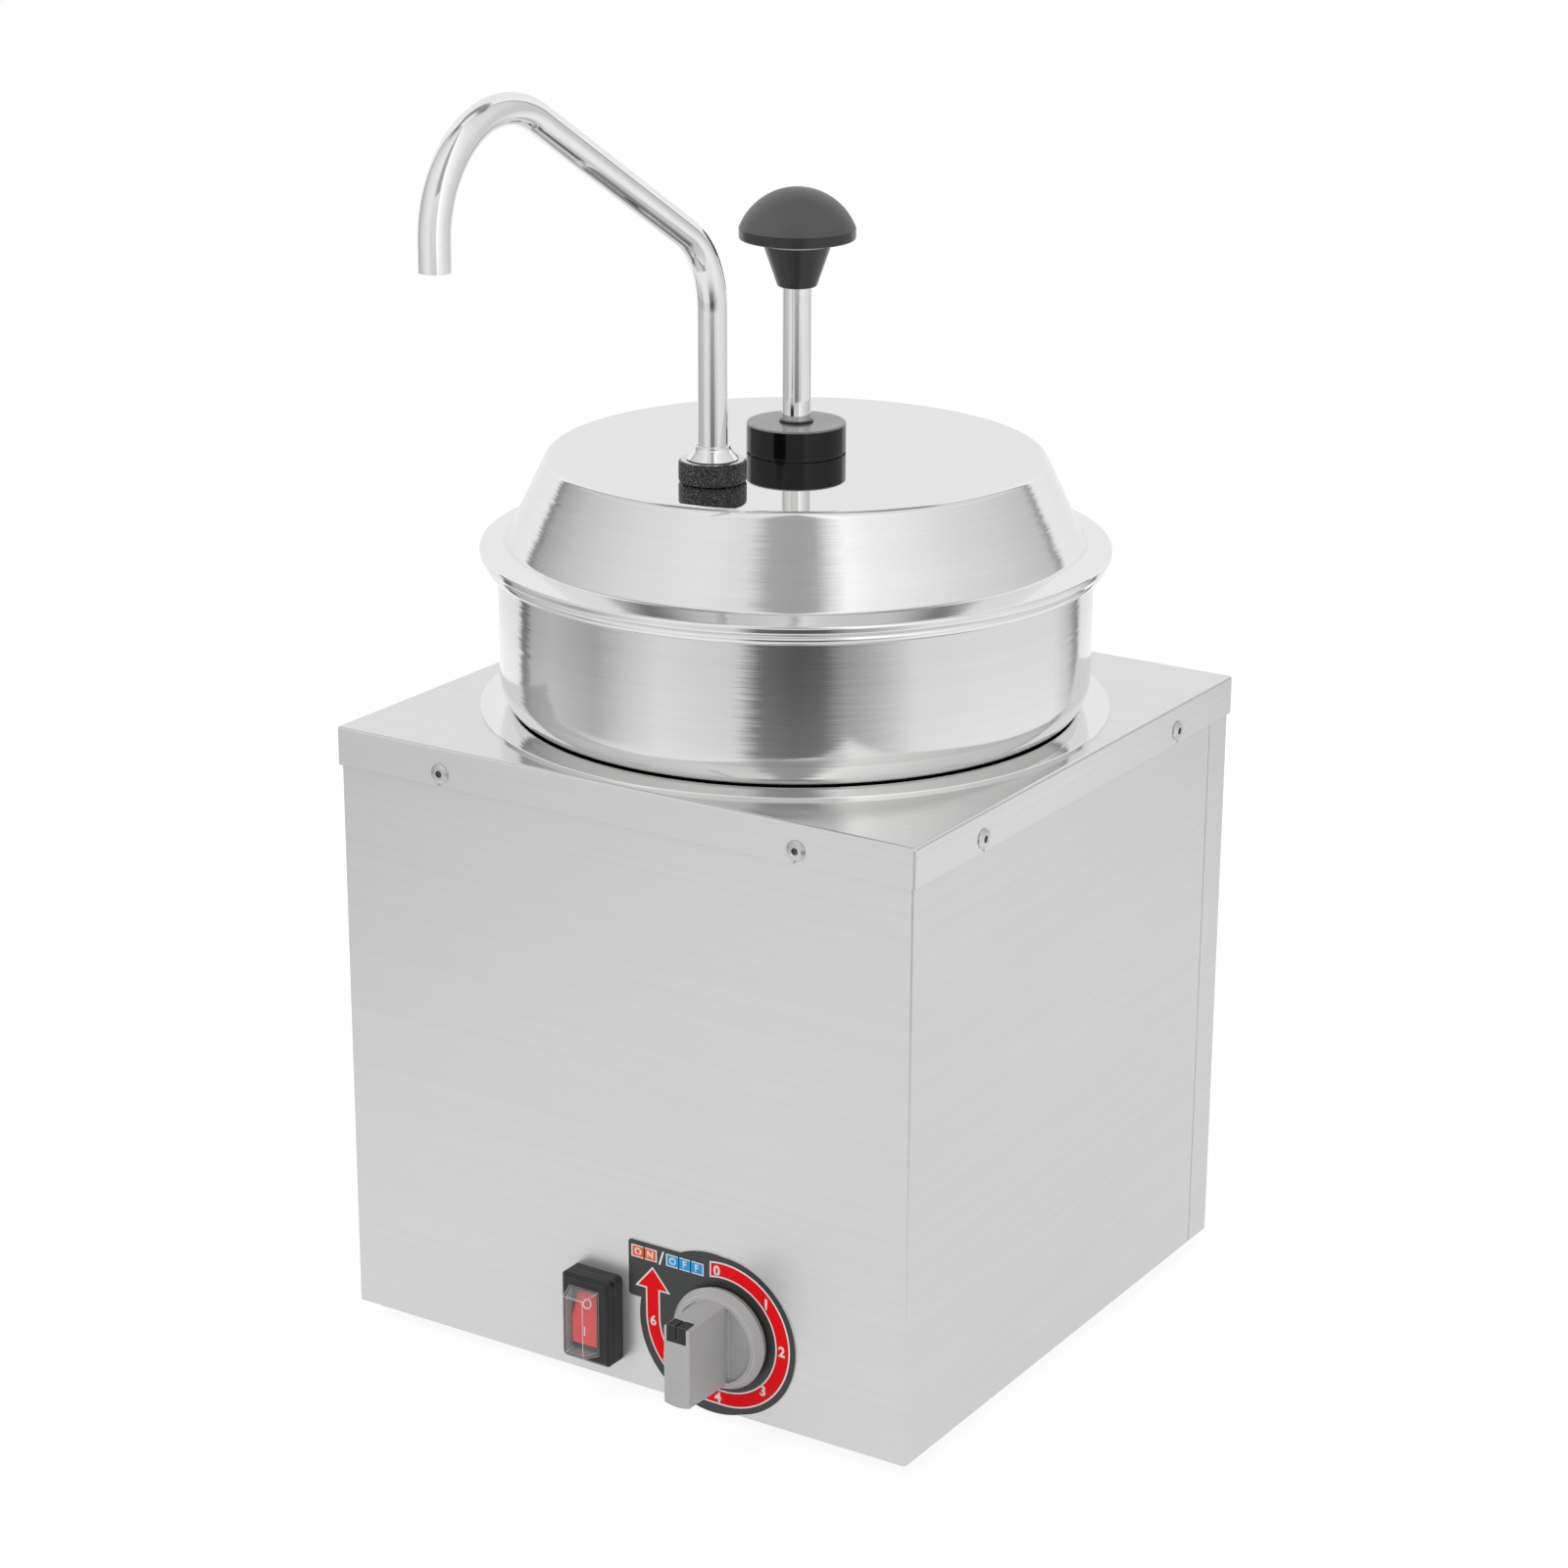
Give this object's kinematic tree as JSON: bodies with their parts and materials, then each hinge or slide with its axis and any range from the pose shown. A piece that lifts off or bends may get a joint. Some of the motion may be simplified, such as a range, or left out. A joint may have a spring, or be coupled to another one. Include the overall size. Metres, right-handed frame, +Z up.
{
  "type": "countertop topping warmer",
  "caption": "Square sheet steel countertop warmer with a heated round well, lift-out pot, domed lid with plunger pump and goose-neck spout, thermostat dial and rocker switch.",
  "frame": {"origin": "on the counter, under the middle of the housing, in the plane of the feet", "axes": "+Z up along the pot and pump axis, +X to the operator's right, -Y towards the operator"},
  "size_m": [0.2422, 0.3452, 0.4723],
  "materials": {
    "brushed": "fine brushed stainless sheet, level grain",
    "plain_sheet": "mill finish sheet",
    "polished": "polished stainless",
    "turned_steel": "bright turned stainless",
    "rivet": "bright pop rivet",
    "screw": "plated screw",
    "rubber": "black rubber",
    "seal": "food grade silicone",
    "knob": "satin black phenolic, fine grain",
    "black_gloss": "gloss black plastic",
    "bush": "black acetal",
    "knurled_black": "black, diamond knurled",
    "dial_plate": "dark grey printed scale",
    "grey_plastic": "satin grey moulding",
    "black_plastic": "black moulding",
    "cream_plastic": "cream moulding",
    "red_plastic": "red translucent rocker",
    "clear": "clear flexible cover",
    "wool": "ceramic fibre blanket",
    "element": "heat tinted sheath",
    "ceramic": "ceramic end beads",
    "brass": "plain brass",
    "copper": "copper tube and bulb"
  },
  "bodies": {
    "housing": {"base_tray": "plain_sheet", "body_wrap": "brushed", "rear_panel": "brushed", "corner_strips": "plain_sheet", "top_cover": "brushed", "cover_rivets": "rivet", "rear_screws": "screw", "tray_screws": "screw", "feet": "rubber", "foot_screws": "screw", "water_well": "polished", "well_insulation": "wool", "heating_element": "element", "element_terminals": "ceramic", "element_clamp": "plain_sheet", "clamp_stud": "screw", "clamp_nut": "screw", "thermal_cutout": "element", "thermostat_body": "black_plastic", "thermostat_screws": "screw", "capillary_bulb": "copper", "bulb_clip": "plain_sheet", "dial_plate": "dial_plate", "switch_bezel": "black_plastic", "rocker_pin": "screw", "switch_body": "black_plastic", "switch_terminals": "brass", "switch_cover": "clear", "terminal_block": "cream_plastic", "block_screws": "screw", "earth_stud": "brass", "earth_nut": "brass", "cable_gland": "black_plastic", "gland_locknut": "black_plastic"},
    "dial": {"thermostat_knob": "grey_plastic", "knob_pointer": "black_plastic", "thermostat_shaft": "screw"},
    "rocker": {"rocker_button": "red_plastic"},
    "pot": {"inset_pot": "polished"},
    "lid": {"lid": "polished", "pump_collar": "black_gloss", "rod_bush": "bush", "pump_cylinder": "turned_steel", "valve_body": "turned_steel", "cage_pins": "turned_steel", "riser_tube": "turned_steel", "spout_tube": "polished", "spout_nut": "knurled_black", "spout_ferrule": "polished", "lid_gaskets": "seal", "return_spring": "screw"},
    "plunger": {"plunger_knob": "knob", "plunger_rod": "turned_steel", "piston": "bush", "piston_seal": "seal", "piston_nut": "screw", "rod_spacer": "turned_steel"},
    "inlet_ball": {"inlet_ball": "turned_steel"},
    "outlet_ball": {"outlet_ball": "turned_steel"}
  },
  "joints": [
    {"name": "pot_lift", "type": "slide", "parent": "housing", "child": "pot", "axis": [0, 0, 1], "range_m": [0, 0.13]},
    {"name": "lid_lift", "type": "slide", "parent": "pot", "child": "lid", "axis": [0, 0, 1], "range_m": [0, 0.18]},
    {"name": "plunger_press", "type": "slide", "parent": "lid", "child": "plunger", "axis": [0, 0, -1], "range_m": [0, 0.042], "stiffness_N_per_m": 250, "springref_m": -0.03, "deforming": ["return_spring"]},
    {"name": "dial_turn", "type": "hinge", "parent": "housing", "child": "dial", "pos_m": [0.0447, -0.1155, 0.0361], "axis": [0, 1, 0], "range_deg": [0, 270]},
    {"name": "rocker_tilt", "type": "hinge", "parent": "housing", "child": "rocker", "pos_m": [-0.0091, -0.119, 0.0306], "axis": [1, 0, 0], "range_deg": [0, 20]},
    {"name": "inlet_ball_lift", "type": "slide", "parent": "lid", "child": "inlet_ball", "axis": [0, 0, 1], "range_m": [0, 0.003]},
    {"name": "outlet_ball_lift", "type": "slide", "parent": "lid", "child": "outlet_ball", "axis": [0, 0, 1], "range_m": [0, 0.003]}
  ]
}
